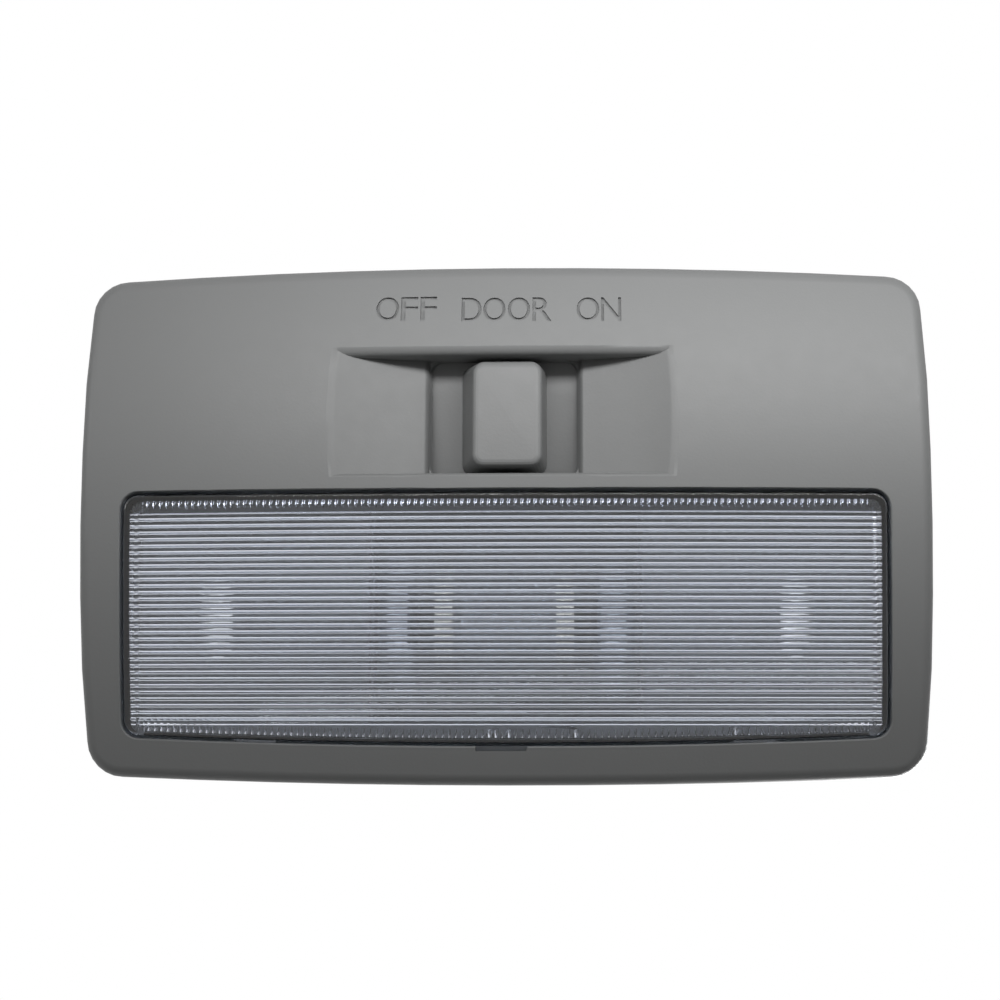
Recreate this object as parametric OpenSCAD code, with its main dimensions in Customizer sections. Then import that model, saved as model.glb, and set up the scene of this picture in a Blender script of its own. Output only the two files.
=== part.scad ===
// Car dome light with a sliding three-position switch and a clip-in clear lens.
// It is drawn face up on the bench: X runs along its width, Y from the lens to the switch,
// and Z from the seat plane towards the viewer. installed() turns it over, so that the
// finished part hangs lens down from the headliner, with its origin in the seat plane.

/* [Housing] */
// Width of the housing, side to side
body_w = 144; // [138:1:170]
// Depth of the housing, from the lens edge to the switch edge
body_d = 88; // [86:1:100]
// Height from the seat plane to the middle of the face
face_h = 14; // [13:0.5:18]
// Crown radius of the face across its depth
crown_d_r = 170; // [150:5:300]
// Crown radius of the face across its width
crown_w_r = 600; // [500:10:1500]
// How far the long edges bow out at their middle
bow_long = 1.3; // [0.6:0.1:2]
// How far the short edges bow out at their middle
bow_short = 0.9; // [0.3:0.1:1.5]
// Corner radius of the outline
corner_r = 6; // [4:0.5:9]
// Rounding between the face and the side wall
edge_r = 2; // [1:0.1:2.4]
// Wall thickness of the housing
wall = 2; // [1.6:0.1:2.4]
// Thickness of the stiffening ribs behind the face
rib_t = 1.2; // [0.8:0.1:1.6]

/* [Lens] */
// Width of the lens
lens_w = 128.6; // [118:0.2:130]
// Edge of the lens on the switch side, measured from the middle of the housing
lens_top = 4.9; // [3:0.1:5.2]
// Edge of the lens on the far side, at its middle
lens_bottom = -37; // [-37.5:0.1:-30]
// How far the far edge of the lens bows out
lens_bow = 1.3; // [0:0.1:2]
// Corner radius of the lens
lens_r = 2.6; // [1.5:0.1:5]
// Thickness of the lens over its flutes
lens_t = 2.2; // [1.8:0.1:3]
// Wall round the rim of the lens
lens_rim_t = 1; // [0.8:0.1:2]
// Gap between the lens and the housing
lens_gap = 0.4; // [0.2:0.05:0.6]
// Spacing of the flutes and of the short ribs round the border
flute_pitch = 1.11; // [1:0.01:2]
// Height of a flute
flute_h = 0.45; // [0.2:0.05:0.5]
// Width of the border between the rim and the flutes, on both long sides
border_w = 2.1; // [1.2:0.1:2.5]
// Length of the short ribs on the two long sides
comb_long = 1.5; // [0.8:0.1:2]
// Length of the short ribs on the two short sides
comb_short = 0.9; // [0.5:0.1:1.5]

/* [Finger recess and switch slot] */
// Half width of the dished finger recess
scoop_half = 29.5; // [26:0.5:34]
// Depth of the recess at its middle
scoop_depth = 7.9; // [7:0.1:9]
// Lower wall of the recess, next to the lens
scoop_bottom = 8; // [7.6:0.1:9]
// Upper wall of the recess, next to the legend
scoop_top = 28.2; // [27:0.1:31]
// Half width of the slot behind the knob, at the shield plate
slot_half = 11.8; // [11:0.1:13]
// How much wider than that the slot is on each side at the recess floor
slot_draft = 0.9; // [0.4:0.1:1.2]
// Rounding of the slot edges into the recess floor
slot_edge_r = 1.8; // [1:0.1:2.2]
// Depth of the shield plate under the middle of the face
plate_depth = 11.5; // [11:0.1:12]

/* [Slide knob] */
// Width of the knob where it meets its shield plate
knob_w = 14.5; // [12:0.1:15]
// Width of the knob at its top
knob_top_w = 11.8; // [9:0.1:12]
// How far the top of the knob sits to the right of its foot
knob_skew = 0.8; // [0:0.1:1]
// Height of the knob over its shield plate
knob_h = 10.3; // [8:0.1:11]
// Clearance between the knob and the walls of the recess
knob_gap = 0.6; // [0.4:0.1:1]
// Slide from the middle position to either side
travel = 4.2; // [3.5:0.1:4.4]
// Thickness of the shield plate
plate_t = 1.6; // [1.2:0.1:2]
// Running clearance of the sliding parts
slide_gap = 0.3; // [0.2:0.05:0.4]

/* [Lamp] */
// Overall length of the tubular bulb between its cap tips
bulb_len = 31; // [29:0.5:33]
// Diameter of the bulb glass
bulb_d = 9.6; // [8:0.1:11]
// Diameter of the bulb caps
cap_d = 8.5; // [7:0.1:9]
// Depth of the lamp bowl behind the seat plane
bowl_depth = 8.5; // [8:0.1:10]
// Inside width of the lamp bowl
bowl_w = 47; // [46:0.5:50]
// Thickness of the reflector sheet
sheet_t = 0.5; // [0.4:0.1:0.8]
// Distance from the seat plane back to the two side floors of the lamp box
side_floor = 2; // [1:0.1:3]

/* [Fixing and wiring] */
// Distance between the two roof screws
screw_span = 100; // [90:1:104]
// Diameter of the holes for the roof screws, with room to line the light up
screw_hole_d = 6; // [4.8:0.1:6.4]
// Distance from the seat plane back to the ends of the screw bosses
boss_back = 12; // [11.5:0.1:14]
// Thickness of the contact bars
bar_t = 0.7; // [0.5:0.1:0.8]
// Width of the contact bars
bar_w = 3; // [2.4:0.1:3.4]
// Thickness of the terminal base
base_t = 3.2; // [2.8:0.1:4]
// Depth of the connector socket
socket_depth = 11; // [9:0.5:14]
// Spacing of the connector blades
blade_pitch = 4; // [3.8:0.1:4.2]

/* [Hidden] */
$fn = 64;
eps = 0.01;

// Steps along the corners and edges of each outline
corner_steps = 6;
long_steps = 10;
short_steps = 6;
edge_steps = 4;
lens_steps = 8;

// Height of the crowned face over the seat plane
function sag(y) = crown_d_r - sqrt(crown_d_r * crown_d_r - y * y);
function face(x, y) = face_h - crown_w_r + sqrt(pow(crown_w_r - sag(y), 2) - x * x);

// Lamp box: its walls, its bowl, the ledge under the lens and the snap windows
box_wall = 1.6;
lens_mid = (lens_top + lens_bottom) / 2;
ledge_depth = 10.5;
ledge_z = face_h - ledge_depth;
ledge_w = 0.9;
lip_r = 0.5;
lens_bevel = 0.7;
bowl_y0 = lens_bottom + 3.4;
bowl_y1 = lens_top - 2.6;
bowl_back = -bowl_depth - box_wall;
notch_w = 9.2;
tab_x = 42;
tab_w = 7;
tab_lift = 0.9;
tab_nose = 0.5;
tab_z = ledge_z + tab_lift;
tab_h = 1.5;
rib_places = [36, 54];
rib_z = 1;

// Roof screw bosses
boss_wall = 2;
boss_d = screw_hole_d + 2 * boss_wall;
screw_seat_w = 2.5;
screw_seat_d = screw_hole_d + 2 * screw_seat_w;

// Stack of the switch, from the shield plate back to the terminal base
switch_y = (scoop_bottom + scoop_top) / 2;
plate_z = face_h - plate_depth;
collar_z = plate_z + slide_gap;
plate_y0 = lens_top + lens_gap + box_wall + slide_gap;
plate_y1 = scoop_top + 1.2;
plate_lap = 1.2;
block_z = plate_z - plate_t - 3.8;
base_z = block_z - 1.3;
base_back = base_z - base_t;
slot_r = 2;
knob_edge_r = 1.1;

// Finger recess: a dish that leans with the face between its two walls
recess_edge_top = 1.7;
recess_edge_low = 0.9;
recess_roll = 1.6;
recess_steps = 12;
recess_base_y = lens_top + lens_gap + box_wall / 2;
recess_z = (face(0, scoop_bottom) + face(0, scoop_top)) / 2 - scoop_depth;
recess_tilt = atan((face(0, scoop_bottom) - face(0, scoop_top)) / (scoop_top - scoop_bottom));
dish_r = (scoop_half * scoop_half + scoop_depth * scoop_depth) / (2 * scoop_depth);

// Slider: its block, the contact leaf and the detent
slider_half = 6.5;
slider_y0 = switch_y - 7.3;
slider_y1 = switch_y + 8.7;
rail_drop = 5.6;
pad_drop = 0.6;
rail_y = switch_y - rail_drop;
pad_y = switch_y - pad_drop;
stake = [-4.8, (rail_y + pad_y) / 2];
stake_d = 1.2;
leaf_t = 0.3;
leaf_half = 3.6;
leaf_gap = 0.1;
contact_half = 1.8;
detent_y = switch_y + 6.4;
ball_d = 3;
ball_z = base_z + ball_d / 2 + 0.05;
spring_top = plate_z - 1;
spring_r = 1.15;
spring_wire = 0.35;
groove_r = 1.7;
groove_depth = 0.35;

// Terminal base, its screws, rails and socket
ear_x = 25.5;
post_d = 6.5;
screw_core_d = 2.2;
screw_head_d = 4.4;
screw_bite = 5;
base_y0 = plate_y0 + 0.1;
base_y1 = plate_y1;
rail_t = 1.6;
rail_half = 16;
socket_w = 8.6;
socket_l = 15.6;
socket_wall = 1.2;

// Lamp: the bulb, its clips on their pads and the rivets
rivet_x = 18.5;
rivet_d = 3;
rivet_head_d = 5;
pad_z = -bowl_depth + sheet_t + 0.3;
pad_x0 = 14;
pad_x1 = 22.6;
pad_d = 9;
clip_t = 0.5;
clip_w = 8;
clip_back = 0.4;
clip_hole_r = 2.1;
bulb_top = 3.2;
cap_t = 0.35;
cap_start = 8.8;
cap_len = 3;
cap_tip_r = 1.2;
glass_t = 0.6;
glass_half = 10.5;
shoulder = 7;

// Contact bars: their widths, places and routes on the front of the base
front_w = 1.8;
bar_clear = 0.1;
bars_back = bowl_back - bar_t;
leg_inset = 2;
leg_y = base_y0 + leg_inset;
feed_x = 22;
blade_x = 18.5;
blade_w = 2.2;
blade_len = 6.5;
blade_y = [pad_y - blade_pitch, pad_y, pad_y + blade_pitch];
feed_route = [[feed_x, leg_y], [feed_x, blade_y[0]], [blade_x, blade_y[0]]];
lamp_route = [[-rivet_x, leg_y], [-rivet_x, rail_y], [travel + leaf_half, rail_y]];
door_route = [[0, pad_y], [0, pad_y + 2.8], [blade_x - 4, pad_y + 2.8],
    [blade_x - 2, blade_y[2]], [blade_x, blade_y[2]]];
ground_route = [[travel, pad_y], [blade_x, pad_y]];

// Bowed rectangle with round corners, counterclockwise from its right edge.
// w is its width, y0 and y1 its edges, b0 and b1 their bows, bs the bow of the sides.
function outline(w, y0, y1, b0, b1, bs, r) =
    let (a = w / 2, ym = (y0 + y1) / 2, h = (y1 - y0) / 2,
        xc = a - bs - r, top = y1 - b1 - r, low = y0 + b0 + r)
    concat(
        [for (i = [1 : short_steps - 1]) let (y = low + (top - low) * i / short_steps)
            [a - bs * pow((y - ym) / h, 2), y]],
        corner(xc, top, r, 0),
        [for (i = [1 : long_steps - 1]) let (x = xc - 2 * xc * i / long_steps)
            [x, y1 - b1 * pow(x / xc, 2)]],
        corner(-xc, top, r, 90),
        [for (i = [1 : short_steps - 1]) let (y = top + (low - top) * i / short_steps)
            [-a + bs * pow((y - ym) / h, 2), y]],
        corner(-xc, low, r, 180),
        [for (i = [1 : long_steps - 1]) let (x = -xc + 2 * xc * i / long_steps)
            [x, y0 + b0 * pow(x / xc, 2)]],
        corner(xc, low, r, 270));

function corner(x, y, r, start) =
    [for (i = [0 : corner_steps]) let (t = start + 90 * i / corner_steps) [x + r * cos(t), y + r * sin(t)]];

// Plain rectangle with round corners about the origin
function round_rect(w, d, r) = concat(
    corner(w / 2 - r, d / 2 - r, r, 0), corner(r - w / 2, d / 2 - r, r, 90),
    corner(r - w / 2, r - d / 2, r, 180), corner(w / 2 - r, r - d / 2, r, 270));

function body_outline(inset) = outline(body_w - 2 * inset, -body_d / 2 + inset,
    body_d / 2 - inset, bow_long, bow_long, bow_short, max(corner_r - inset, 0.5));
function lens_outline(inset) = outline(lens_w - 2 * inset, lens_bottom + inset,
    lens_top - inset, lens_bow, 0, 0, max(lens_r - inset, 0.3));

// Rings in space: at one height, or at a drop under the crowned face
function level(o, z) = [for (p = o) [p.x, p.y, z]];
function under_face(o, drop) = [for (p = o) [p.x, p.y, face(p.x, p.y) - drop]];
function shrink(o, f, c) = [for (p = o) c + (p - c) * f];

// Solid skinned over rings of equal count, closed by a tip at each end
module skin(rings, tip0, tip1) {
    n = len(rings[0]);
    last = (len(rings) - 1) * n;
    points = concat([for (r = rings) each r], [tip0, tip1]);
    sides = [for (k = [0 : len(rings) - 2]) for (i = [0 : n - 1])
        let (j = (i + 1) % n, a = k * n, b = a + n)
        each [[a + i, b + i, b + j], [a + i, b + j, a + j]]];
    caps = [for (i = [0 : n - 1]) let (j = (i + 1) % n)
        each [[last + n, i, j], [last + n + 1, last + j, last + i]]];
    polyhedron(points, concat(sides, caps));
}

// Solid under the crowned face, from a level up to a drop under the face
module dome(o, z, drop, c) {
    skin(concat([level(o, z), under_face(o, drop)],
        [for (f = [0.9, 0.78, 0.62, 0.45, 0.25]) under_face(shrink(o, f, c), drop)]),
        [c.x, c.y, z], [c.x, c.y, face(c.x, c.y) - drop]);
}

module installed() {
    rotate([180, 0, 0]) children();
}

// Plate between two corners
module block(x0, x1, y0, y1, z0, z1) {
    translate([x0, y0, z0]) cube([x1 - x0, y1 - y0, z1 - z0]);
}

module post(p, d, z0, z1) {
    translate([p.x, p.y, z0]) cylinder(d = d, h = z1 - z0);
}

// Profile in X and Z, extruded along Y between two places
module along_y(y0, y1) {
    translate([0, y1, 0]) rotate([90, 0, 0]) linear_extrude(y1 - y0) children();
}

// Profile in Y and Z, extruded along X between two places
module along_x(x0, x1) {
    translate([x0, 0, 0]) rotate([90, 0, 90]) linear_extrude(x1 - x0) children();
}

// Crowned shell of the housing: inside face, rim on the seat plane, side wall and face
module shell() {
    steps = [0.25, 0.45, 0.62, 0.78, 0.9];
    inner_r = max(edge_r - wall, 0.4);
    skin(concat(
        [for (f = steps) under_face(shrink(body_outline(wall + inner_r), f, [0, 0]), wall)],
        [under_face(body_outline(wall + inner_r), wall),
            under_face(body_outline(wall), wall + inner_r),
            level(body_outline(wall), 0),
            level(body_outline(0), 0)],
        [for (i = [0 : edge_steps]) let (t = 90 * i / edge_steps)
            under_face(body_outline(edge_r * (1 - cos(t))), edge_r * (1 - sin(t)))],
        [for (i = [len(steps) - 1 : -1 : 0])
            under_face(shrink(body_outline(edge_r), steps[i], [0, 0]), 0)]),
        [0, 0, face(0, 0) - wall], [0, 0, face(0, 0)]);
}

// Places the recess in its own tilt, with its floor through the origin
module recess_frame() {
    translate([0, switch_y, recess_z]) rotate([-recess_tilt, 0, 0]) children();
}

module dish(r) {
    recess_frame() translate([0, 0, dish_r]) rotate([90, 0, 0])
        cylinder(r = r, h = 4 * dish_r, center = true, $fn = 360);
}

// Rounded edge of the recess at one place across the width: it rises from the wall at y and
// turns into the slope of the face, and stops just short of it
function edge_roll(x, y, way, r) =
    let (c = y + way * r, a = way * asin(c / crown_d_r), z = face(x, c) - r / cos(a))
    concat([for (k = [0 : 5]) let (t = k * (75 + a) / 5) [c - way * r * cos(t), z + r * sin(t)]],
        [[c + way * (4 * sin(75 + a) - r * cos(75 + a)), z + r * sin(75 + a) + 4 * cos(75 + a)]]);

// Section of the recess from front to back, open to the face
function recess_ring(x) =
    let (up = edge_roll(x, scoop_top, 1, recess_edge_top),
        low = edge_roll(x, scoop_bottom, -1, recess_edge_low), n = len(up) - 1)
    [for (p = concat([[scoop_top, 0]], up, [[up[n].x, face_h + 3], [low[n].x, face_h + 3]],
        [for (i = [n : -1 : 0]) low[i]], [[scoop_bottom, 0]])) [x, p.x, p.y]];

// Walls of the recess with their rounded edges, which follow the crown of the face
module recess_walls() {
    half = scoop_half + 4;
    skin([for (i = [0 : recess_steps]) recess_ring(half * (2 * i / recess_steps - 1))],
        [-half, switch_y, face_h + 2.5], [half, switch_y, face_h + 2.5]);
}

// Place across the width where the dish meets the face, from a first guess in a few steps
function dish_end(y, x = scoop_half, n = 4) = n == 0 ? x :
    let (h = (face(x, y) - recess_z + tan(recess_tilt) * (y - switch_y)) * cos(recess_tilt))
    dish_end(y, sqrt(h * (2 * dish_r - h)), n - 1);

// Soft edge at one end of the dish: a curve between the slope of the dish and that of the face
function end_ring(y) =
    let (x = dish_end(y), b = asin(x / dish_r), f = -asin(x / crown_w_r), c = [x, face(x, y)],
        p = c - recess_roll * [cos(b), sin(b)], q = c + recess_roll * [cos(f), sin(f)],
        at = [for (s = [0.25, 0.42, 0.58, 0.75]) (1 - s) * (1 - s) * p + 2 * s * (1 - s) * c + s * s * q],
        t0 = at[1] - at[0], t1 = at[3] - at[2])
    [for (v = concat([at[0] - 2.5 * t0 / norm(t0)], at, [at[3] + 3 * t1 / norm(t1)],
        [[x + 4, face_h + 2], [x - 3, face_h + 2]])) [v.x, y, v.y]];

module recess_end() {
    y0 = scoop_bottom - recess_edge_low - 1;
    y1 = scoop_top + recess_edge_top + 1;
    skin([for (i = [0 : 6]) end_ring(y1 + (y0 - y1) * i / 6)],
        [dish_end(y1), y1, face_h + 1], [dish_end(y0), y0, face_h + 1]);
}

// Finger recess: a round dish between two walls, with soft edges all round
module recess_cut() {
    intersection() {
        dish(dish_r);
        recess_walls();
    }
    for (side = [0, 1]) intersection() {
        mirror([side, 0, 0]) recess_end();
        recess_walls();
    }
}

// Slot for the knob, drafted towards the recess floor and rounded into it on both sides
module slot_cut() {
    wide = slot_half + slot_draft;
    roll = slot_edge_r;
    far = dish_r + roll;
    roll_w = dish_r - sqrt(far * far - pow(wide + roll, 2));
    d = scoop_top - scoop_bottom;
    function rim(w, z) = [for (p = round_rect(w, d, slot_r)) [p.x, p.y, z - tan(recess_tilt) * p.y]];
    translate([0, switch_y, 0]) skin([
        rim(2 * slot_half, collar_z - 2), rim(2 * slot_half, collar_z),
        rim(2 * wide, recess_z + roll_w), rim(2 * wide - 2, recess_z + 3)],
        [0, 0, collar_z - 2], [0, 0, recess_z + 3]);
    end = (wide + roll) * dish_r / far;
    section = concat([[wide - 2, roll_w], [wide, roll_w]],
        [for (t = [165 : -15 : 120]) [wide + roll + roll * cos(t), roll_w + roll * sin(t)]],
        [[end, dish_r - sqrt(dish_r * dish_r - end * end)], [end, 8], [wide - 2, 8]]);
    function leaning(y) = [for (p = section) [p.x, y, recess_z - tan(recess_tilt) * (y - switch_y)
        + p.y / cos(recess_tilt)]];
    for (side = [0, 1]) mirror([side, 0, 0]) skin([leaning(scoop_top), leaning(scoop_bottom)],
        [wide - 1, scoop_top, recess_z + 5], [wide - 1, scoop_bottom, recess_z + 7]);
}

// Outside of the lamp box: the walls round the lens, the side floors and the bowl
module lamp_box() {
    o = lens_outline(-lens_gap - box_wall);
    skin([level(o, -side_floor - box_wall), under_face(o, wall / 2)],
        [0, lens_mid, -side_floor - box_wall], [0, lens_mid, face(0, lens_mid) - 2 * wall]);
    block(-bowl_w / 2 - box_wall, bowl_w / 2 + box_wall, bowl_y0 - box_wall, bowl_y1 + box_wall,
        bowl_back, -side_floor);
    for (side = [-1, 1]) post([side * screw_span / 2, lens_mid], boss_d, -boss_back, -side_floor);
}

// Inside of the lamp box: the lens opening, the ledge under the lens and the bowl
module lamp_cavity() {
    o = lens_outline(-lens_gap);
    skin(concat([level(o, ledge_z), under_face(o, lip_r)],
        [for (t = [20 : 20 : 60]) under_face(lens_outline(-lens_gap - lip_r * (1 - cos(t))),
            lip_r * (1 - sin(t)))],
        [level(lens_outline(-lens_gap - lip_r), face_h + 2)]),
        [0, lens_mid, ledge_z], [0, lens_mid, face_h + 2]);
    difference() {
        translate([0, 0, -side_floor]) linear_extrude(ledge_z + side_floor + eps)
            polygon(lens_outline(ledge_w));
        for (side = [-1, 1])
            post([side * screw_span / 2, lens_mid], screw_seat_d, -side_floor - eps, -side_floor + 0.8);
    }
    difference() {
        block(-bowl_w / 2, bowl_w / 2, bowl_y0, bowl_y1, -bowl_depth, -side_floor + eps);
        for (side = [-1, 1]) block_pair(side, pad_x0, pad_x1, pad_d, -bowl_depth - eps, pad_z);
    }
}

// Plate on one side of the lamp, mirrored by its side
module block_pair(side, x0, x1, d, z0, z1) {
    a = side > 0 ? x0 : -x1;
    block(a, a + x1 - x0, lens_mid - d / 2, lens_mid + d / 2, z0, z1);
}

// Solid left round the finger recess, with a flat collar over the shield plate
module recess_wall() {
    w = 2 * (scoop_half + wall);
    d = scoop_top + wall - recess_base_y;
    y = recess_base_y + d / 2;
    o = [for (p = round_rect(w, d, 1)) p + [0, y]];
    intersection() {
        skin([level(o, collar_z), under_face(o, wall * 0.4)],
            [0, y, collar_z], [0, y, face(0, y) - wall * 0.4]);
        dish(dish_r + wall);
    }
}

// Thin ribs between the face, the lamp box and the side wall
module ribs() {
    intersection() {
        dome(body_outline(wall / 2), rib_z, wall / 2, [0, 0]);
        for (x = rib_places) for (side = [-1, 1])
            block(side * x - rib_t / 2, side * x + rib_t / 2, -body_d, body_d, 0, 2 * face_h);
    }
}

module housing() {
    color("#8d9090") installed() difference() {
        union() {
            shell();
            lamp_box();
            recess_wall();
            ribs();
            for (side = [-1, 1]) post([side * ear_x, switch_y], post_d, base_z, plate_z + 8.5);
        }
        recess_cut();
        slot_cut();
        lamp_cavity();
        pry_notch();
        for (side = [-1, 1]) {
            post([side * screw_span / 2, lens_mid], screw_hole_d, -2 * boss_back, face_h);
            post([side * ear_x, switch_y], screw_core_d + 0.1, base_z - eps, base_z + screw_bite + 0.5);
            post([side * rivet_x, lens_mid], rivet_d + 0.1, 2 * bowl_back, 0);
            for (y = [lens_top, lens_bottom])
                translate([side * tab_x, y, tab_z + tab_h / 2])
                    cube([tab_w + 1, 2 * (lens_gap + box_wall) + 1, tab_h + 1], center = true);
        }
    }
}

// Notch at the far edge of the lens, where a thin blade lifts it out
module pry_notch() {
    y = lens_bottom - lens_gap;
    translate([0, 0, face(0, y) - 1.8]) linear_extrude(4) polygon([
        [-notch_w / 2, y + 1], [-notch_w / 2, y - 0.8],
        [notch_w / 2 - 0.8, y - 0.8], [notch_w / 2, y + 1]]);
}

// Places across the flutes, each with its depth in the flute from 0 to 1
function flute_places() =
    let (n = floor((lens_top - lens_bottom - 2 * lens_rim_t - 2 * border_w) / flute_pitch),
        start = (lens_top + lens_bottom - n * flute_pitch) / 2)
    concat([[lens_top + 1, 0]],
        [for (i = [n - 1 : -1 : 0]) for (k = [4 : -1 : 1])
            [start + (i + k / 4) * flute_pitch, sqrt(1 - pow(k / 2 - 1, 2))]],
        [[start, 0], [lens_bottom - 1, 0]]);

// Inside of the rim: short ribs point inwards from it all round, one to every pitch. Outer and
// inner outline have a point for each other, so the ribs fan out round the corners.
function comb_outline() =
    let (outer = lens_outline(lens_rim_t),
        inner = outline(lens_w - 2 * (lens_rim_t + comb_short), lens_bottom + lens_rim_t + comb_long,
            lens_top - lens_rim_t - comb_long, lens_bow, 0, 0, max(lens_r - lens_rim_t - comb_short, 0.3)),
        n = len(outer),
        at = [for (i = 0, d = 0; i <= n; d = d + norm(outer[(i + 1) % n] - outer[i % n]), i = i + 1) d],
        ribs = round(at[n] / flute_pitch))
    [for (k = [0 : 2 * ribs - 1])
        let (o = k % 2 == 0 ? outer : inner, d = at[n] * k / (2 * ribs))
        [lookup(d, [for (i = [0 : n]) [at[i], o[i % n].x]]),
            lookup(d, [for (i = [0 : n]) [at[i], o[i % n].y]])]];

// Room under the lens plate, its roof a row of round flutes that follow the crowned face
module under_lens() {
    places = flute_places();
    half = lens_w / 2 - lens_rim_t + 0.5;
    low = ledge_z - 3;
    function ring(x, flat) = concat([[x, lens_bottom - 1, low], [x, lens_top + 1, low]],
        [for (p = places) [x, p[0], flat ? ledge_z : face(x, p[0]) - lens_t + flute_h * (1 - p[1])]]);
    skin(concat([ring(-half - 1, true)],
        [for (i = [0 : lens_steps]) ring(half * (2 * i / lens_steps - 1), false)],
        [ring(half + 1, true)]),
        [-half - 1, lens_mid, (low + ledge_z) / 2], [half + 1, lens_mid, (low + ledge_z) / 2]);
}

module lens() {
    steps = [0.92, 0.8, 0.65, 0.45, 0.22];
    c = [0, lens_mid];
    color("#dfe8ee", 0.55) installed() {
        difference() {
            skin(concat([level(lens_outline(0), ledge_z)],
                [for (t = [0 : 30 : 90]) under_face(lens_outline(lens_bevel * (1 - cos(t))),
                    lens_bevel * (1 - sin(t)))],
                [for (f = steps) under_face(shrink(lens_outline(lens_bevel), f, c), 0)]),
                [0, lens_mid, ledge_z], [0, lens_mid, face(0, lens_mid)]);
            intersection() {
                under_lens();
                translate([0, 0, ledge_z - 1]) linear_extrude(face_h) polygon(comb_outline());
            }
        }
        for (side = [-1, 1]) {
            lens_tab(side * tab_x, lens_top, 1);
            lens_tab(side * tab_x, lens_bottom + lens_bow * pow(tab_x / (lens_w / 2), 2), -1);
        }
    }
}

// Snap tab on the rim of the lens, which springs into a window of the lamp box
module lens_tab(x, y, way) {
    along_x(x - tab_w / 2, x + tab_w / 2) polygon([
        [y - way * lens_rim_t / 2, tab_z], [y + way * (lens_gap + 0.1), tab_z],
        [y + way * (lens_gap + tab_nose), tab_z + tab_h * 0.6],
        [y + way * (lens_gap + tab_nose), tab_z + tab_h], [y - way * lens_rim_t / 2, tab_z + tab_h]]);
}

// Knob in rings from its foot to its rounded top, which leans with the face and sits aside
module knob() {
    foot = scoop_top - scoop_bottom - 2 * knob_gap;
    lean = tan(recess_tilt);
    r = knob_edge_r;
    function ring(w, d, c, z, f) =
        [for (p = round_rect(w, d, c)) [p.x + knob_skew * f, p.y, z - lean * p.y * f]];
    translate([0, switch_y, plate_z]) skin(concat(
        [ring(knob_w, foot, 2, -plate_t / 2, 0), ring(knob_w, foot, 2, 0, 0)],
        [for (t = [0 : 22.5 : 90]) ring(knob_top_w - 2 * r * (1 - cos(t)),
            foot - 1 - 2 * r * (1 - cos(t)), max(2 - r * (1 - cos(t)), 0.5),
            knob_h - r * (1 - sin(t)), 1)]),
        [0, 0, -plate_t / 2], [knob_skew, 0, knob_h + 0.15]);
}

module slide_knob() {
    half = slot_half + travel + plate_lap;
    color("#8a8d8d") installed() difference() {
        union() {
            knob();
            block(-half, half, plate_y0, plate_y1, plate_z - plate_t, plate_z);
            block(-slider_half, slider_half, slider_y0, slider_y1, block_z, plate_z - plate_t / 2);
            post(stake, stake_d, block_z - 0.7, block_z + 1);
        }
        post([0, detent_y], ball_d + 0.2, block_z - 1, spring_top);
    }
}

// Leaf that bridges the lamp rail to the door or the ground contact
module moving_contact() {
    color("#b98a4a") installed() {
        difference() {
            block(-slider_half + 0.4, -leaf_half, rail_y - 1.2, pad_y + 1.2, block_z - leaf_t, block_z);
            post(stake, stake_d + 0.1, block_z - 2, block_z + 1);
        }
        for (y = [rail_y, pad_y]) along_y(y - 1, y + 1) leaf_profile();
    }
}

// Bowed finger of the leaf, touching lowest at its middle
module leaf_profile() {
    dip = block_z - leaf_t - base_z - leaf_gap;
    r = (leaf_half * leaf_half + dip * dip) / (2 * dip) + leaf_t;
    intersection() {
        translate([0, base_z + leaf_gap + r]) difference() {
            circle(r, $fn = 180);
            circle(r - leaf_t, $fn = 180);
        }
        translate([-leaf_half - 0.5, base_z]) square([2 * leaf_half + 1, block_z - base_z]);
    }
}

// Round wire swept along a path
module wire(path, r, sides) {
    last = len(path) - 1;
    ref = [1, 0.35, 0.2];
    rings = [for (i = [0 : last])
        let (t = path[min(i + 1, last)] - path[max(i - 1, 0)],
            u = cross(t, ref), a = u / norm(u), b = cross(t, a), c = b / norm(b))
        [for (k = [0 : sides - 1]) path[i] + r * (cos(360 * k / sides) * a
            + sin(360 * k / sides) * c)]];
    skin(rings, path[0], path[last]);
}

// Coil compressed between the ball and the roof of its pocket
module detent_spring() {
    low = ball_z + ball_d / 2 + spring_wire / 2;
    high = spring_top - spring_wire / 2 - 0.05;
    turns = 3.5;
    steps = 12 * turns;
    color("#b9bcc0") installed() translate([0, detent_y, 0]) wire(
        [for (i = [0 : steps]) [spring_r * cos(30 * i), spring_r * sin(30 * i),
            low + (high - low) * i / steps]], spring_wire / 2, 8);
}

module detent_ball() {
    color("#c9ccd0") installed() translate([0, detent_y, ball_z]) sphere(d = ball_d);
}

// Formed sheet trough behind the bulb, open where the bulb clips pass
module reflector() {
    half = bowl_w / 2 - 0.3;
    y0 = bowl_y0 + 0.2;
    y1 = bowl_y1 - 0.2;
    rise = 8;
    top = -side_floor - 0.1;
    low = -bowl_depth;
    path = [[y0, top], [y0 + rise, low], [y1 - rise, low], [y1, top]];
    color("#dcdcd6") installed() difference() {
        union() {
            along_x(-half, half) polygon(concat(path,
                [for (i = [3 : -1 : 0]) path[i] + [i == 0 ? sheet_t : i == 3 ? -sheet_t : 0,
                    i == 0 || i == 3 ? 0 : sheet_t]]));
            for (side = [-1, 1]) along_x(side > 0 ? half - sheet_t : -half,
                side > 0 ? half : -half + sheet_t) polygon(path);
        }
        for (side = [-1, 1]) block_pair(side, pad_x0 - 0.3, pad_x1 + 0.05, pad_d + 0.6,
            -2 * bowl_depth, pad_z + 0.5);
    }
}

// Turned shape along the bulb, from a profile of radius and distance from its middle
module turned() {
    installed() translate([0, lens_mid, 0]) rotate([0, 90, 0]) rotate_extrude() children();
}

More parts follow.
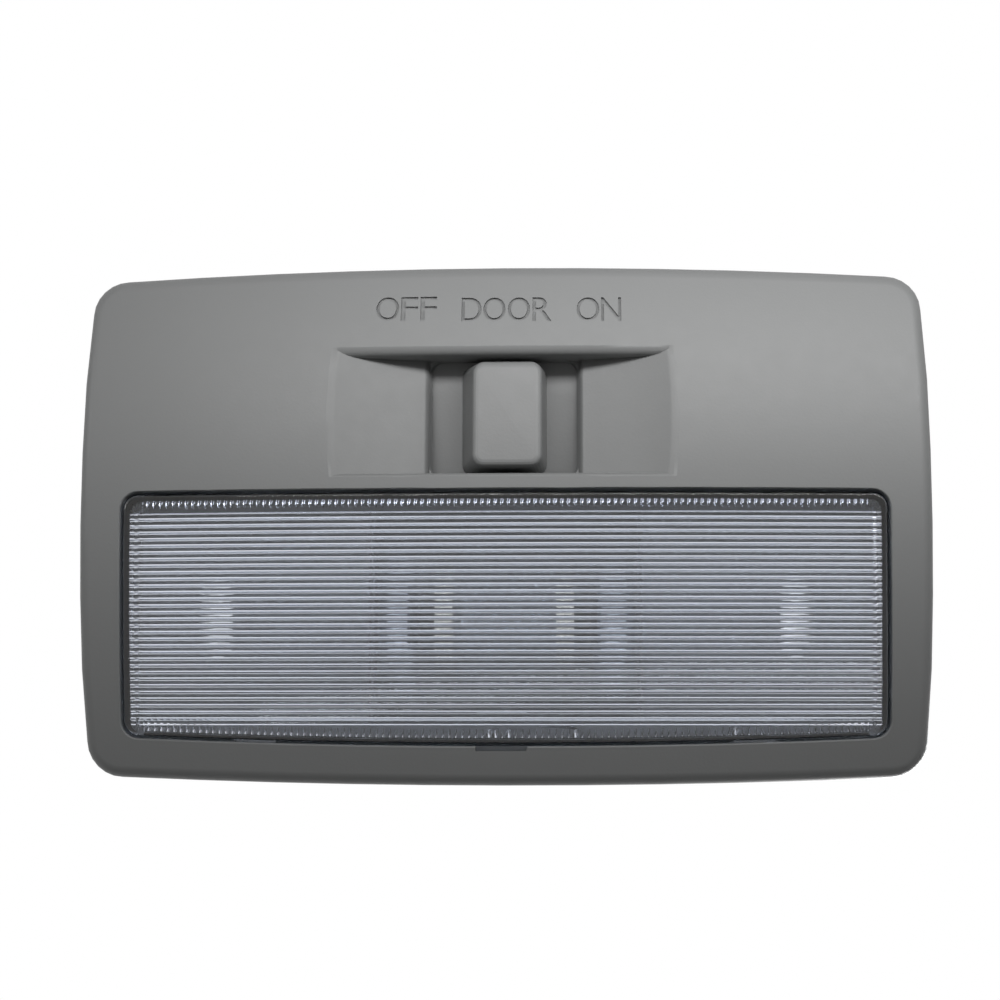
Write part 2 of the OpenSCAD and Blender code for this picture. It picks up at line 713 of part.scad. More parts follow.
module bulb_glass() {
    r = bulb_d / 2;
    neck = cap_d / 2 - cap_t - 0.2;
    g = glass_t;
    outer = concat([[neck, -glass_half], [neck, -shoulder - r + neck]],
        [for (t = [0 : 15 : 90]) [neck + (r - neck) * sin(t), -shoulder - (r - neck) * cos(t)]],
        [for (t = [90 : -15 : 0]) [neck + (r - neck) * sin(t), shoulder + (r - neck) * cos(t)]],
        [[neck, glass_half]]);
    color("#eef2f4", 0.5) turned() polygon(concat(outer,
        [for (i = [len(outer) - 1 : -1 : 0]) outer[i] - [g, 0]]));
}

module bulb_cap(side) {
    r = cap_d / 2;
    tip = cap_tip_r;
    end = bulb_len / 2;
    color("#c3b68c") turned() mirror([0, side > 0 ? 0 : 1]) polygon([
        [r - cap_t, cap_start], [r, cap_start], [r, cap_start + cap_len], [tip, end], [0, end],
        [0, end - cap_t], [tip - cap_t / 2, end - cap_t], [r - cap_t, cap_start + cap_len]]);
}

// Filament coil with its two lead wires, which end in the caps
module bulb_filament() {
    half = 4;
    turns = 8;
    steps = 10 * turns;
    lead = bulb_len / 2 - 2 * cap_t;
    coil = [for (i = [0 : steps]) [half * (2 * i / steps - 1), 0.5 * sin(36 * i), 0.5 * cos(36 * i)]];
    color("#8c8780") installed() translate([0, lens_mid, 0])
        wire(concat([[-lead, 0, 0], [-half - 1, 0, 0.2]], coil, [[half + 1, 0, 0.2], [lead, 0, 0]]),
            0.14, 6);
}

// Sheet clip with a foot on its pad, a hole for the cap tip and a flared lip
module bulb_clip(side) {
    x = bulb_len / 2 - clip_back;
    t = clip_t;
    top = bulb_top + 1;
    color("#c8a25a") installed() difference() {
        mirror([side > 0 ? 0 : 1, 0, 0]) along_y(lens_mid - clip_w / 2, lens_mid + clip_w / 2)
            polygon([[x - t, pad_z], [pad_x1 - 0.3, pad_z], [pad_x1 - 0.3, pad_z + t], [x, pad_z + t],
                [x, top], [x + 1.2, top + 1.6], [x + 1.2 - t, top + 1.8], [x - t, top + 0.2]]);
        translate([side * x, lens_mid, 0]) rotate([0, 90, 0])
            cylinder(r = clip_hole_r, h = 4, center = true);
        post([side * rivet_x, lens_mid], rivet_d + 0.1, 2 * bowl_back, pad_z + 2);
    }
}

module clip_rivet(side) {
    color("#b7b9bb") installed() translate([side * rivet_x, lens_mid, 0]) {
        post([0, 0], rivet_d, bars_back - 0.4, pad_z + clip_t + 0.4);
        post([0, 0], rivet_head_d, pad_z + clip_t, pad_z + clip_t + 0.8);
        post([0, 0], rivet_head_d, bars_back - 0.8, bars_back);
    }
}

// Flat strip along a route seen from the front, with round ends and turns
module strip(route, w, z, t) {
    translate([0, 0, z]) linear_extrude(t) {
        for (p = route) translate(p) circle(d = w);
        for (i = [0 : len(route) - 2]) let (a = route[i], b = route[i + 1])
            translate(a) rotate(atan2(b.y - a.y, b.x - a.x))
                translate([0, -w / 2]) square([norm(b - a), w]);
    }
}

// Blade of a bar, which passes the base and stands in the socket
module blade(y) {
    block(blade_x - bar_t / 2, blade_x + bar_t / 2, y - blade_w / 2, y + blade_w / 2,
        base_back - blade_len, base_z);
}

// Leg of a bar, from the back of the bowl up to the front of the base
module leg(x) {
    block(x - bar_w / 2, x + bar_w / 2, leg_y - bar_t / 2, leg_y + bar_t / 2, bars_back, base_z);
}

// Part of a bar on the back of the lamp bowl, with its hole for the rivet
module bowl_strip(side, route) {
    difference() {
        union() {
            strip(route, bar_w, bars_back, bar_t);
            post([side * rivet_x, lens_mid], rivet_head_d + 0.4, bars_back, bars_back + bar_t);
        }
        post([side * rivet_x, lens_mid], rivet_d + 0.1, 2 * bowl_back, 0);
    }
}

module feed_bar() {
    color("#c79b50") installed() {
        bowl_strip(1, [[rivet_x, lens_mid], [rivet_x, lens_mid + 3], [feed_x, lens_mid + 7],
            [feed_x, leg_y - bar_w / 2 + bar_t / 2]]);
        leg(feed_x);
        front_strip(feed_route);
        blade(blade_y[0]);
    }
}

module lamp_bar() {
    color("#c79b50") installed() {
        bowl_strip(-1, [[-rivet_x, lens_mid], [-rivet_x, leg_y - bar_w / 2 + bar_t / 2]]);
        leg(-rivet_x);
        front_strip(lamp_route);
    }
}

module front_strip(route) {
    strip(route, front_w, base_z - bar_t, bar_t);
}

module door_bar() {
    color("#c79b50") installed() {
        front_strip(door_route);
        block(-contact_half, contact_half, pad_y - 1.2, pad_y + 1.2, base_z - bar_t, base_z);
        blade(blade_y[2]);
    }
}

module ground_bar() {
    color("#c79b50") installed() {
        front_strip(ground_route);
        block(travel - contact_half, travel + contact_half, pad_y - 1.2, pad_y + 1.2,
            base_z - bar_t, base_z);
        blade(blade_y[1]);
    }
}

// Moulded base that closes the switch and carries the bars and the connector socket
module terminal_base() {
    half = ear_x + 3.6;
    c = bar_clear;
    x0 = blade_x - socket_w / 2;
    y0 = blade_y[1] - socket_l / 2;
    color("#e6e4dc") installed() difference() {
        union() {
            translate([0, (base_y0 + base_y1) / 2, base_back]) linear_extrude(base_t)
                polygon(round_rect(2 * half, base_y1 - base_y0, 2));
            for (y = [base_y0, base_y1 - rail_t])
                block(-rail_half, rail_half, y, y + rail_t, base_z - eps, plate_z - plate_t - slide_gap);
            block(x0, x0 + socket_w, y0, y0 + socket_l, base_back - socket_depth, base_back + eps);
            along_x(blade_x - 2, blade_x + 2) polygon([
                [y0 + socket_l - eps, base_back - 4], [y0 + socket_l + 1.1, base_back - 4],
                [y0 + socket_l + 1.1, base_back - 4.8], [y0 + socket_l - eps, base_back - 7]]);
        }
        block(x0 + socket_wall, x0 + socket_w - socket_wall, y0 + socket_wall,
            y0 + socket_l - socket_wall, base_back - 2 * socket_depth, base_back - 0.6);
        for (route = [feed_route, lamp_route, door_route, ground_route])
            strip(route, front_w + 2 * c, base_z - bar_t, 2 * bar_t);
        block(-contact_half - c, travel + contact_half + c, pad_y - 1.2 - c, pad_y + 1.2 + c,
            base_z - bar_t, base_z + 1);
        for (x = [feed_x, -rivet_x])
            block(x - bar_w / 2 - c, x + bar_w / 2 + c, leg_y - bar_t / 2 - c, leg_y + bar_t / 2 + c,
                2 * base_back, base_z + 1);
        for (y = blade_y)
            block(blade_x - bar_t / 2 - c, blade_x + bar_t / 2 + c, y - blade_w / 2 - c,
                y + blade_w / 2 + c, base_back - 1, base_z + 1);
        for (x = [-travel, 0, travel]) translate([x, detent_y, base_z + groove_r - groove_depth])
            rotate([90, 0, 0]) cylinder(r = groove_r, h = 5, center = true);
        for (side = [-1, 1]) post([side * ear_x, switch_y], screw_core_d + 0.5, 2 * base_back, base_z + 1);
    }
}

// Small tapping screw through an ear of the base into its post
module base_screw(side) {
    color("#a9acaf") installed() translate([side * ear_x, switch_y, 0]) difference() {
        union() {
            post([0, 0], screw_core_d, base_back - 0.5, base_z + screw_bite);
            post([0, 0], screw_head_d, base_back - 1.5, base_back);
        }
        for (a = [0, 90]) rotate(a)
            translate([0, 0, base_back - 1.5]) cube([screw_head_d * 0.6, 0.7, 1.4], center = true);
    }
}

housing();
lens();
slide_knob();
moving_contact();
detent_spring();
detent_ball();
reflector();
bulb_glass();
bulb_filament();
bulb_cap(-1);  // bulb_cap_left
bulb_cap(1);  // bulb_cap_right
bulb_clip(-1);  // bulb_clip_left
bulb_clip(1);  // bulb_clip_right
clip_rivet(-1);  // clip_rivet_left
clip_rivet(1);  // clip_rivet_right
terminal_base();
base_screw(-1);  // base_screw_left
base_screw(1);  // base_screw_right
feed_bar();
lamp_bar();
door_bar();
ground_bar();
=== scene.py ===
import math

import bmesh
import bpy
from mathutils import Matrix, Vector


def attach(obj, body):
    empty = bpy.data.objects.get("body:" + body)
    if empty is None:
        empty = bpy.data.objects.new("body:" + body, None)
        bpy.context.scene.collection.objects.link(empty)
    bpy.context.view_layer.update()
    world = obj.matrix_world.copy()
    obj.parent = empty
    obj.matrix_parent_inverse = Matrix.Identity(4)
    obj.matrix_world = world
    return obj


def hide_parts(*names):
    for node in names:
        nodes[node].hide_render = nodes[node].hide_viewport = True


# A car dome light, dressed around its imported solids. Sizes that follow the housing's drawing
# are given on the bench, face up, in millimetres; place() turns them lens down, in metres.
MM = 0.001
METRE = 1000
BENCH = Matrix.Rotation(math.pi, 4, "X") @ Matrix.Scale(MM, 4)

# The crowned face: how high its middle is over the seat plane, and its radii
FACE_H = 14
CROWN_D, CROWN_W = 170, 600

# The finger recess, a hollow bent across the middle of the slide
SWITCH_Y = 18.1
SCOOP = dict(half=29.5, depth=7.9, low=8, top=28.2)

LENS = dict(top=4.9, low=-37, width=128.6, bow=1.3, thick=2.2, ledge=3.5)
FLUTES = dict(count=32, pitch=1.11, height=0.45, half=61.7)
# Short ribs in the lens's border: where the long combs begin and end from the lens's edge, and
# where the two end combs begin
COMB = dict(near=1.05, far=2.55, half=61, count=110, ends=(-63.25, 62.3), end_width=0.95)

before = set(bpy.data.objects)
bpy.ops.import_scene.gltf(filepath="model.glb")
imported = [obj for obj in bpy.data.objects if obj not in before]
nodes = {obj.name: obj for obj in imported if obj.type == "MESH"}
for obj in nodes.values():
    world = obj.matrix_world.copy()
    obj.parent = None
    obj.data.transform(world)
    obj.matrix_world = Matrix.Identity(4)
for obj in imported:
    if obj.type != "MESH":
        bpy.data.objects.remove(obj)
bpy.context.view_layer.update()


def linear(code, alpha=1.0):
    """sRGB hex to the linear colour that the shaders take."""
    parts = [int(code[i:i + 2], 16) / 255 for i in (1, 3, 5)]
    return (*[c / 12.92 if c <= 0.04045 else ((c + 0.055) / 1.055) ** 2.4 for c in parts], alpha)


def sag(y):
    """How far the crown has fallen at y, on the bench."""
    return CROWN_D - math.sqrt(CROWN_D ** 2 - y * y)


def face(x, y):
    """Height of the crowned face, on the bench."""
    return FACE_H - CROWN_W + math.sqrt((CROWN_W - sag(y)) ** 2 - x * x)


def face_normal(x, y):
    """Normal of the crowned face, on the bench."""
    r = CROWN_W - sag(y)
    z = math.sqrt(r * r - x * x)
    return Vector((x / z, (r / z) * y / math.sqrt(CROWN_D ** 2 - y * y), 1)).normalized()


def placed(mesh):
    """From the bench, in millimetres, to the installed part, in metres."""
    mesh.transform(BENCH)
    return mesh


def evaluated_mesh(thing):
    """The mesh that an object shows, with its modifiers or its text made up."""
    view = bpy.context.evaluated_depsgraph_get()
    return bpy.data.meshes.new_from_object(thing.evaluated_get(view))


def mesh_from(bm, name):
    mesh = bpy.data.meshes.new(name)
    bm.to_mesh(mesh)
    bm.free()
    return mesh


def new_object(name, data):
    thing = bpy.data.objects.new(name, data)
    bpy.context.scene.collection.objects.link(thing)
    return thing


def merged_copy(node, name):
    """A copy of a CAD node's mesh with its loose triangles joined up."""
    same_place = 2e-6
    bm = bmesh.new()
    bm.from_mesh(nodes[node].data)
    bmesh.ops.remove_doubles(bm, verts=bm.verts, dist=same_place)
    return mesh_from(bm, name)


def cut(piece, cutter):
    """Take the cutter out of the piece, and keep the result as the piece's own mesh."""
    knife = piece.modifiers.new("cut", "BOOLEAN")
    knife.operation, knife.solver, knife.object = "DIFFERENCE", "EXACT", cutter
    done = evaluated_mesh(piece)
    piece.modifiers.clear()
    piece.data = done
    bpy.data.objects.remove(cutter)


def material(name):
    m = bpy.data.materials.new(name)
    m.use_nodes = True
    m.node_tree.nodes.clear()
    return m, m.node_tree


def add(tree, kind, links=(), **settings):
    """A node with its settings and links: links are (input, output socket) or (input, value)."""
    node = tree.nodes.new("ShaderNode" + kind)
    for key, value in settings.items():
        setattr(node, key, value)
    for key, value in links:
        if isinstance(value, bpy.types.NodeSocket):
            tree.links.new(value, node.inputs[key])
        else:
            node.inputs[key].default_value = value
    return node


def finish_material(tree, shader):
    add(tree, "OutputMaterial", [("Surface", shader.outputs[0])])


def grained_plastic(name, colours, grain=0.45, depth=0.02, rough=0.5):
    """Moulded plastic with a spark-eroded grain: rounded pebbles about half a millimetre across,
    which break up the gloss, over a faint cloudiness of the colour. Sizes in millimetres."""
    cloud, spread = 22, 0.05
    m, t = material(name)
    co = add(t, "TexCoord").outputs["Object"]
    pebbles = add(t, "TexNoise", [("Vector", co), ("Scale", METRE / grain), ("Detail", 2)])
    coarse = add(t, "TexNoise", [("Vector", co), ("Scale", METRE / (grain * 5)), ("Detail", 2)])
    clouds = add(t, "TexNoise", [("Vector", co), ("Scale", METRE / cloud), ("Detail", 3)])
    tint = add(t, "MixRGB", [("Fac", clouds.outputs["Fac"]), ("Color1", linear(colours[0])),
                             ("Color2", linear(colours[1]))])
    patchy = add(t, "MapRange", [("Value", coarse.outputs["Fac"]), ("To Min", rough - spread),
                                 ("To Max", rough + spread)])
    bump = add(t, "Bump", [("Height", pebbles.outputs["Fac"]), ("Strength", 1.0),
                           ("Distance", depth * MM)])
    shader = add(t, "BsdfPrincipled", [("Base Color", tint.outputs["Color"]),
                                       ("Roughness", patchy.outputs["Result"]), ("IOR", 1.53),
                                       ("Normal", bump.outputs["Normal"])])
    finish_material(t, shader)
    return m


def clear_wall(name, colour, rough=0.04, let_in="#ffffff"):
    """Clear acrylic or glass, polished by its tool or flame, with the faint waves that it froze
    with and the tint of a thick edge. A lamp's rays pass straight through, weakened to let_in by
    what the ribs turn back, so that they light what is behind it."""
    wave, depth = 9, 0.004
    m, t = material(name)
    co = add(t, "TexCoord").outputs["Object"]
    flow = add(t, "TexNoise", [("Vector", co), ("Scale", METRE / wave), ("Detail", 3)])
    bump = add(t, "Bump", [("Height", flow.outputs["Fac"]), ("Strength", 1.0),
                           ("Distance", depth * MM)])
    clear = add(t, "BsdfPrincipled", [("Base Color", linear(colour)), ("Roughness", rough),
                                      ("IOR", 1.49), ("Transmission Weight", 1.0),
                                      ("Normal", bump.outputs["Normal"])])
    through = add(t, "BsdfTransparent", [("Color", linear(let_in))])
    path = add(t, "LightPath")
    finish_material(t, add(t, "MixShader", [("Fac", path.outputs["Is Shadow Ray"]),
                                            (1, clear.outputs[0]), (2, through.outputs[0])]))
    return m


def sheet_metal(name, colour, rough, along="X"):
    """Rolled, drawn or turned metal: fine lines along the strip and a few dull patches."""
    line, stretched, patch, depth, wear = 0.35, 0.05, 4, 0.004, 0.06
    m, t = material(name)
    co = add(t, "TexCoord").outputs["Object"]
    scale = [stretched if axis == along else 1 for axis in "XYZ"]
    squeezed = add(t, "Mapping", [("Vector", co), ("Scale", scale)])
    lines = add(t, "TexNoise", [("Vector", squeezed.outputs[0]), ("Scale", METRE / line),
                                ("Detail", 3)])
    patches = add(t, "TexNoise", [("Vector", co), ("Scale", METRE / patch), ("Detail", 3)])
    dull = add(t, "MapRange", [("Value", patches.outputs["Fac"]), ("To Min", rough - wear),
                               ("To Max", rough + wear)])
    bump = add(t, "Bump", [("Height", lines.outputs["Fac"]), ("Strength", 1.0),
                           ("Distance", depth * MM)])
    shader = add(t, "BsdfPrincipled", [("Base Color", linear(colour)), ("Metallic", 1.0),
                                       ("Roughness", dull.outputs["Result"]),
                                       ("Normal", bump.outputs["Normal"])])
    finish_material(t, shader)
    return m


def enamel(name, colour):
    """Stove enamel on the reflector sheet, with a slight orange peel under its gloss."""
    peel_size, depth = 1.5, 0.01
    m, t = material(name)
    co = add(t, "TexCoord").outputs["Object"]
    peel = add(t, "TexNoise", [("Vector", co), ("Scale", METRE / peel_size), ("Detail", 2)])
    bump = add(t, "Bump", [("Height", peel.outputs["Fac"]), ("Strength", 1.0),
                           ("Distance", depth * MM)])
    shader = add(t, "BsdfPrincipled", [("Base Color", linear(colour)), ("Roughness", 0.35),
                                       ("Coat Weight", 0.3), ("Normal", bump.outputs["Normal"])])
    finish_material(t, shader)
    return m


HOUSING_ABS = grained_plastic("moulded ABS, grey, grained", ("#7e7f7f", "#828383"))
KNOB_ABS = grained_plastic("moulded ABS, grey, knob", ("#7b7c7c", "#7f8080"), rough=0.46)
BASE_NYLON = grained_plastic("moulded nylon, natural", ("#cfccc0", "#d6d3c8"), grain=0.8,
                             depth=0.01, rough=0.42)
LENS_ACRYLIC = clear_wall("moulded acrylic, clear", "#dfe4ee", let_in="#8f959e")
BULB_GLASS = clear_wall("drawn lamp glass", "#f2f5f6", rough=0.0)
BRASS = sheet_metal("stamped brass strip", "#c9a25a", 0.3)
BRONZE = sheet_metal("spring bronze sheet", "#c08d55", 0.32, "Y")
NICKEL = sheet_metal("nickel plated cap", "#c8c2b2", 0.25)
ZINC = sheet_metal("zinc plated steel screw", "#b5b9bd", 0.3, "Z")
STEEL = sheet_metal("drawn spring steel", "#a9acb0", 0.22)
BLUED = sheet_metal("blued spring steel strip", "#4c5056", 0.42, "Y")
ALUMINIUM = sheet_metal("soft aluminium rivet", "#c4c6c8", 0.38, "Z")
TUNGSTEN = sheet_metal("tungsten wire", "#7d7a76", 0.45)
# The reflector's grey is partly its enamel's colour and partly painted shade: it is darkened so
# that the chamber behind the lens looks dim.
ENAMEL_WITH_PAINTED_SHADE = enamel("stove enamel, grey with painted shade", "#606265")

FINISHES = {
    "slide_knob": KNOB_ABS, "moving_contact": BRONZE,
    "detent_spring": STEEL, "detent_ball": STEEL,
    "reflector": ENAMEL_WITH_PAINTED_SHADE, "bulb_glass": BULB_GLASS, "bulb_filament": TUNGSTEN,
    "bulb_cap_left": NICKEL, "bulb_cap_right": NICKEL,
    "bulb_clip_left": BLUED, "bulb_clip_right": BLUED,
    "clip_rivet_left": ALUMINIUM, "clip_rivet_right": ALUMINIUM, "terminal_base": BASE_NYLON,
    "base_screw_left": ZINC, "base_screw_right": ZINC,
    "feed_bar": BRASS, "lamp_bar": BRASS, "door_bar": BRASS, "ground_bar": BRASS,
}


def give_finish(piece, finish):
    piece.data.materials.clear()
    piece.data.materials.append(finish)


for name, finish in FINISHES.items():
    give_finish(nodes[name], finish)

# Each letter with its left, right and lower edge on the housing
LETTERS = [
    ("O", -21.5, -17.6, 34.35), ("F", -17.3, -14.4, 34.35), ("F", -14.0, -11.2, 34.35),
    ("D", -7.0, -3.6, 34.1), ("O", -3.3, 0.45, 34.1), ("O", 0.85, 4.6, 34.1),
    ("R", 5.0, 8.2, 34.1), ("O", 12.45, 16.3, 34.05), ("N", 16.6, 20.0, 34.05),
]
CAP_HEIGHT = 4.2
ENGRAVED = 0.6
CUTTER_HEIGHT = 2
LETTER_STEPS = 6


def letter(char, x0, x1, low):
    """A cutter for one letter, leaning with the face at its place."""
    curve = bpy.data.curves.new("letter", "FONT")
    curve.body, curve.extrude, curve.resolution_u = char, 0.5, LETTER_STEPS
    text = new_object("letter", curve)
    mesh = evaluated_mesh(text)
    bpy.data.objects.remove(text)
    lo = [min(v.co[i] for v in mesh.vertices) for i in (0, 1, 2)]
    hi = [max(v.co[i] for v in mesh.vertices) for i in (0, 1, 2)]
    x, y = (x0 + x1) / 2, low + CAP_HEIGHT / 2
    n = face_normal(x, y)
    size = Vector((x1 - x0, CAP_HEIGHT / n.z, CUTTER_HEIGHT))
    for v in mesh.vertices:
        v.co = Vector([(v.co[i] - (lo[i] + hi[i]) / 2) / (hi[i] - lo[i]) * size[i]
                       for i in range(3)])
    side = Vector((0, 1, 0)).cross(n).normalized()
    lean = Matrix((side, n.cross(side), n)).transposed().to_4x4()
    middle = Vector((x, y, face(x, y))) + n * (CUTTER_HEIGHT / 2 - ENGRAVED)
    mesh.transform(Matrix.Translation(middle) @ lean)
    return placed(mesh)


def engraved_housing():
    """The housing's solid with the words cut into its face."""
    piece = new_object("housing_shell", merged_copy("housing", "housing_shell"))
    bm = bmesh.new()
    for place in LETTERS:
        bm.from_mesh(letter(*place))
    bmesh.ops.remove_doubles(bm, verts=bm.verts, dist=1e-7)
    bmesh.ops.recalc_face_normals(bm, faces=bm.faces)
    cut(piece, new_object("words", mesh_from(bm, "words")))
    return piece


# How far a point may be from a surface of the drawing and still be on it; how far its triangle
# may lean from it; and how far a corner beside it may lean and still blend into it
ON_CROWN, ON_SCOOP = 0.16, 0.08
LIES_ON, BLENDS_IN = 0.985, 0.9
ROOF_SIDE = 0.1


def smooth_by_form(piece, surfaces, angle, back_angle=9):
    """Smooth shading up to an angle, and up to a smaller one on the side of the roof, where the
    plain walls have long triangles that would carry a fillet's shade across them. Where a triangle
    lies on one of the surfaces, its corners take that surface's own normal, and what joins it
    softly takes it too; each surface gives a bench point's normal, or None away from it."""
    mesh = piece.data
    mesh.shade_smooth()
    bm = bmesh.new()
    bm.from_mesh(mesh)
    for edge in bm.edges:
        if len(edge.link_faces) == 2:
            behind = any(f.normal.z > ROOF_SIDE for f in edge.link_faces)
            most = math.radians(back_angle if behind else angle)
            edge.smooth = edge.calc_face_angle() < most
    bm.to_mesh(mesh)
    bm.free()
    turn = BENCH.to_3x3().normalized()
    to_bench = BENCH.inverted()
    normals = [Vector(c.vector) for c in mesh.corner_normals]
    bench = [to_bench @ v.co for v in mesh.vertices]
    for surface in surfaces:
        found = [surface(p) for p in bench]
        known = {}
        for poly in mesh.polygons:
            at = [found[i] for i in poly.vertices]
            if all(n and (turn @ n).dot(poly.normal) > LIES_ON for n in at):
                known.update((i, (turn @ n).normalized()) for i, n in zip(poly.vertices, at))
        for poly in mesh.polygons:
            for k in poly.loop_indices:
                n = known.get(mesh.loops[k].vertex_index)
                if n and n.dot(poly.normal) > BLENDS_IN:
                    normals[k] = n
    mesh.normals_split_custom_set(normals)


def on_crown(p):
    """Normal of the crowned face at a bench point near it."""
    half_w, half_d = 75, 45
    if abs(p.x) < half_w and abs(p.y) < half_d and abs(p.z - face(p.x, p.y)) < ON_CROWN:
        return face_normal(p.x, p.y)
    return None


SCOOP_R = (SCOOP["half"] ** 2 + SCOOP["depth"] ** 2) / (2 * SCOOP["depth"])
SCOOP_Z = (face(0, SCOOP["low"]) + face(0, SCOOP["top"])) / 2 - SCOOP["depth"]
SCOOP_FALL = face(0, SCOOP["low"]) - face(0, SCOOP["top"])
SCOOP_TILT = math.atan(SCOOP_FALL / (SCOOP["top"] - SCOOP["low"]))


def on_scoop(p):
    """Normal of the recess's bent floor at a bench point near it."""
    turn = Matrix.Rotation(SCOOP_TILT, 3, "X")
    q = turn @ (p - Vector((0, SWITCH_Y, SCOOP_Z)))
    out = Vector((q.x, 0, q.z - SCOOP_R))
    if abs(out.length - SCOOP_R) < ON_SCOOP and abs(q.x) < SCOOP["half"] + 2:
        return turn.transposed() @ (-out.normalized())
    return None


shell = engraved_housing()
smooth_by_form(shell, [on_crown, on_scoop], angle=30)
give_finish(shell, HOUSING_ABS)
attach(shell, "fixture")
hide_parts("housing")

RIB_STEPS = 14       # facets across one rib
CROWN_STEPS = 32     # facets along a flute, to follow the crown
RIB_ROOM = 0.03      # cut past the solid's own flutes
UNDER_LEDGE = 2      # how far a cutter reaches below the lens


def rib_room(x0, x1, y0, y1, count, across="Y", bow=0.0):
    """Room under a stretch of the lens plate, whose roof is a row of rounded ribs. The ribs repeat
    across y or x; bow lifts the stretch towards its ends."""
    steps = RIB_STEPS * count
    if across == "Y":
        sizes = {"x_segments": CROWN_STEPS, "y_segments": steps}
    else:
        sizes = {"x_segments": steps, "y_segments": 2}
    bm = bmesh.new()
    bmesh.ops.create_grid(bm, size=0.5, **sizes)
    roof = RIB_ROOM - LENS["thick"]
    for v in bm.verts:
        part = v.co.y if across == "Y" else v.co.x
        off = 2 * (round((part + 0.5) * steps) % RIB_STEPS) / RIB_STEPS - 1
        x = x0 + (v.co.x + 0.5) * (x1 - x0)
        y = y0 + (v.co.y + 0.5) * (y1 - y0) + bow * (2 * x / LENS["width"]) ** 2
        v.co = Vector((x, y, face(x, y) + roof + FLUTES["height"] * off * off))
    low = bmesh.ops.extrude_face_region(bm, geom=bm.faces[:])
    for v in [g for g in low["geom"] if isinstance(g, bmesh.types.BMVert)]:
        v.co.z = LENS["ledge"] - UNDER_LEDGE
    bmesh.ops.recalc_face_normals(bm, faces=bm.faces)
    return new_object("rib_room", placed(mesh_from(bm, "rib_room")))


def rib_lens():
    """The solid lens with long flutes over the plate, and a comb of short ribs along its rim."""
    n, half = FLUTES["count"], FLUTES["half"]
    middle, reach = (LENS["top"] + LENS["low"]) / 2, n * FLUTES["pitch"] / 2
    top, low, near, far = LENS["top"], LENS["low"], COMB["near"], COMB["far"]
    along, teeth = COMB["half"], COMB["count"]
    piece = new_object("lens_plate", merged_copy("lens", "lens_plate"))
    cut(piece, rib_room(-half, half, middle - reach, middle + reach, n))
    cut(piece, rib_room(-along, along, top - far, top - near, teeth, "X"))
    cut(piece, rib_room(-along, along, low + near, low + far, teeth, "X", LENS["bow"]))
    for x in COMB["ends"]:
        cut(piece, rib_room(x, x + COMB["end_width"], middle - reach, middle + reach, n))
    return piece


lens = rib_lens()
smooth_by_form(lens, [on_crown], angle=40)
give_finish(lens, LENS_ACRYLIC)
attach(lens, "fixture")
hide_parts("lens")


def camera():
    """The photograph's view: from 0.38 m below, a little to the lens side and to the right."""
    eye, look_at = Vector((0.015, 0.033, -0.383)), Vector((0, 0, -0.003))
    focal, frame_width = 80.4, 36
    across, up = -0.0045, 0.026
    data = bpy.data.cameras.new("camera")
    data.lens, data.sensor_width = focal, frame_width
    data.shift_x, data.shift_y = across, up
    data.clip_start, data.clip_end = 0.01, 20
    view = (look_at - eye).normalized()
    right = view.cross(Vector((0, -1, 0))).normalized()
    turn = Matrix((right, right.cross(view), -view)).transposed().to_4x4()
    cam = new_object("camera", data)
    cam.matrix_world = Matrix.Translation(eye) @ turn
    bpy.context.scene.camera = cam


def lamp(name, start, end, width, to, power):
    """Soft strip between two places on the bench, in millimetres, turned about its own length
    towards a third. Power in watts."""
    start, end, to = Vector(start), Vector(end), Vector(to)
    data = bpy.data.lights.new(name, "AREA")
    data.shape, data.size, data.size_y = "RECTANGLE", (end - start).length * MM, width * MM
    data.energy = power
    middle = (start + end) / 2
    turn = BENCH.to_3x3().normalized()
    along = (turn @ (end - start)).normalized()
    back = turn @ (middle - to)
    back = (back - back.dot(along) * along).normalized()
    turned = Matrix((along, back.cross(along), back)).transposed().to_4x4()
    new_object(name, data).matrix_world = Matrix.Translation(BENCH @ middle) @ turned


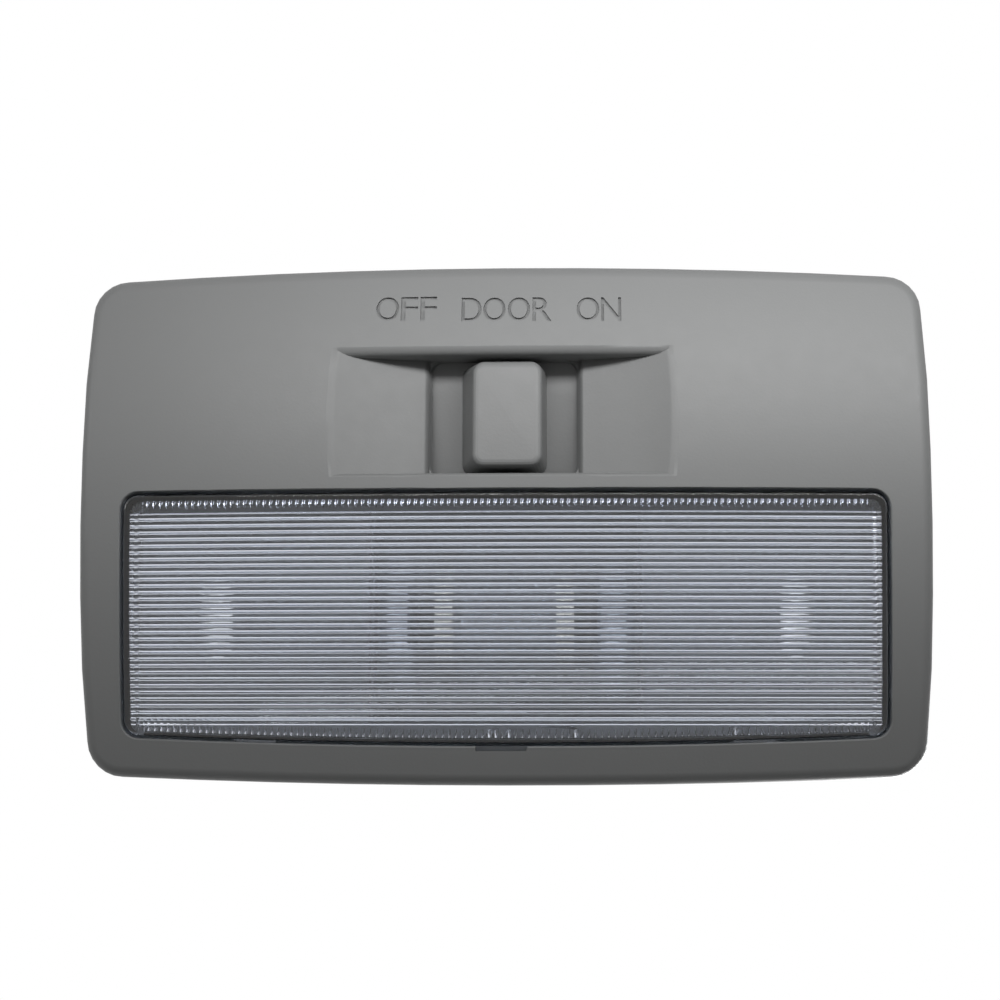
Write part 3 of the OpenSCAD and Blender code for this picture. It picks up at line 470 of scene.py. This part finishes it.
camera()
lamp("strip over the switch edge", start=(-80, 66, 114), end=(140, 59, 70), width=20,
     to=(30, 60, 0), power=0.153)
lamp("soft box at the left", start=(-210, 35, 93), end=(-210, 95, 93), width=60,
     to=(0, 40, 0), power=0.05)
lamp("soft box over the back", start=(160, -250, -500), end=(420, -250, -500), width=260,
     to=(0, 0, 0), power=6)

WHITE = (1, 1, 1, 1)
ROOM_LIGHT = 0.02    # what the room gives to matt surfaces, where the background is 1


def background_seen(tree):
    """1 where the camera sees the background, straight, in a gloss or through glass; 0 for the
    light that it would give to a matt surface."""
    path = add(tree, "LightPath").outputs
    gloss = add(tree, "Math", [(0, path["Is Camera Ray"]), (1, path["Is Glossy Ray"])],
                operation="MAXIMUM")
    glass = add(tree, "Math", [(0, gloss.outputs[0]), (1, path["Is Transmission Ray"])],
                operation="MAXIMUM")
    return add(tree, "Math", [(0, glass.outputs[0]), (1, path["Diffuse Depth"])],
               operation="SUBTRACT", use_clamp=True).outputs[0]


def pale_floor():
    """Matt floor, far below, which the camera sees as white."""
    radius, below = 4, 1.2
    bm = bmesh.new()
    bmesh.ops.create_circle(bm, cap_ends=True, segments=64, radius=radius)
    bmesh.ops.translate(bm, verts=bm.verts, vec=(0, 0, -below))
    m, t = material("pale matt floor")
    pale = add(t, "BsdfPrincipled", [("Base Color", linear("#d8d8d6")), ("Roughness", 0.9)])
    white = add(t, "Emission", [("Color", WHITE), ("Strength", 1.0)])
    finish_material(t, add(t, "MixShader", [("Fac", background_seen(t)), (1, pale.outputs[0]),
                                            (2, white.outputs[0])]))
    floor = new_object("floor", mesh_from(bm, "floor"))
    give_finish(floor, m)


def studio():
    """White where it is seen, and hardly any light of its own."""
    world = bpy.data.worlds.new("studio")
    bpy.context.scene.world = world
    world.use_nodes = True
    w = world.node_tree
    w.nodes.clear()
    dim = add(w, "Background", [("Color", WHITE), ("Strength", ROOM_LIGHT)])
    bright = add(w, "Background", [("Color", WHITE), ("Strength", 1.0)])
    mix = add(w, "MixShader", [("Fac", background_seen(w)), (1, dim.outputs[0]),
                               (2, bright.outputs[0])])
    add(w, "OutputWorld", [("Surface", mix.outputs[0])])


pale_floor()
studio()
bpy.context.scene.view_settings.view_transform = "Standard"
